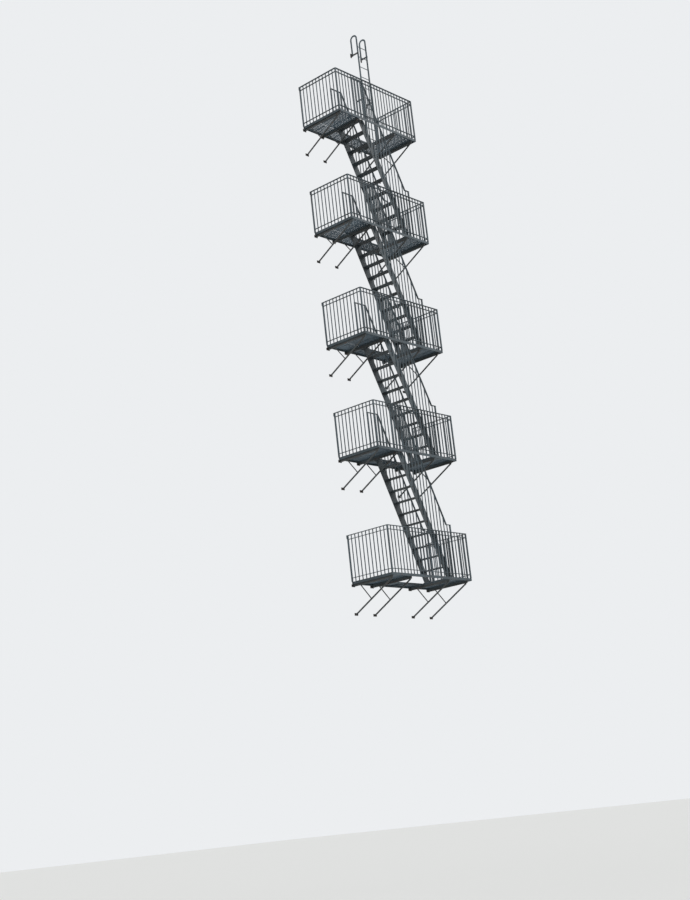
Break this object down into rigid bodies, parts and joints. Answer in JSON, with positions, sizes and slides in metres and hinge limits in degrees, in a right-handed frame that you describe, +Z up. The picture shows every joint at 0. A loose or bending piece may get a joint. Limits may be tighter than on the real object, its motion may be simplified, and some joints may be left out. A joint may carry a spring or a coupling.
{
  "type": "fire escape stair",
  "caption": "Wall-hung metal fire escape: railed slatted balconies on strutted brackets, steep straight stairs between them and a gooseneck ladder up to the roof.",
  "frame": {"origin": "middle of the wall face of the foot plate under the lowest balcony's left bracket, on the wall's face", "axes": "+X along the wall to the right as seen from the street, +Y into the wall, +Z up"},
  "size_m": [2.984, 1.287, 15.8748],
  "materials": {
    "frame_paint": "weathered dull paint with rust at the edges",
    "slat_paint": "worn, dirty dull paint",
    "rail_paint": "weathered dull paint with chips",
    "bracket_paint": "weathered dull paint with rust runs",
    "stringer_paint": "weathered dull paint, paler than the rails",
    "tread_paint": "worn, dirty dull paint",
    "ladder_paint": "weathered dull paint"
  },
  "bodies": {
    "root": {"balcony_1_frame": "frame_paint", "balcony_1_floor": "slat_paint", "balcony_1_front_rail": "rail_paint", "balcony_1_side_rails": "rail_paint", "balcony_1_brackets": "bracket_paint", "balcony_1_wall_plates": "bracket_paint", "balcony_2_frame": "frame_paint", "balcony_2_floor": "slat_paint", "balcony_2_front_rail": "rail_paint", "balcony_2_side_rails": "rail_paint", "balcony_2_brackets": "bracket_paint", "balcony_2_wall_plates": "bracket_paint", "balcony_3_frame": "frame_paint", "balcony_3_floor": "slat_paint", "balcony_3_front_rail": "rail_paint", "balcony_3_side_rails": "rail_paint", "balcony_3_brackets": "bracket_paint", "balcony_3_wall_plates": "bracket_paint", "balcony_4_frame": "frame_paint", "balcony_4_floor": "slat_paint", "balcony_4_front_rail": "rail_paint", "balcony_4_side_rails": "rail_paint", "balcony_4_brackets": "bracket_paint", "balcony_4_wall_plates": "bracket_paint", "balcony_5_frame": "frame_paint", "balcony_5_floor": "slat_paint", "balcony_5_front_rail": "rail_paint", "balcony_5_side_rails": "rail_paint", "balcony_5_brackets": "bracket_paint", "balcony_5_wall_plates": "bracket_paint", "flight_1_stringers": "stringer_paint", "flight_1_treads": "tread_paint", "flight_1_rails": "rail_paint", "flight_2_stringers": "stringer_paint", "flight_2_treads": "tread_paint", "flight_2_rails": "rail_paint", "flight_3_stringers": "stringer_paint", "flight_3_treads": "tread_paint", "flight_3_rails": "rail_paint", "flight_4_stringers": "stringer_paint", "flight_4_treads": "tread_paint", "flight_4_rails": "rail_paint", "roof_ladder_stiles": "ladder_paint", "roof_ladder_rungs": "ladder_paint", "roof_ladder_brackets": "bracket_paint"}
  },
  "joints": []
}
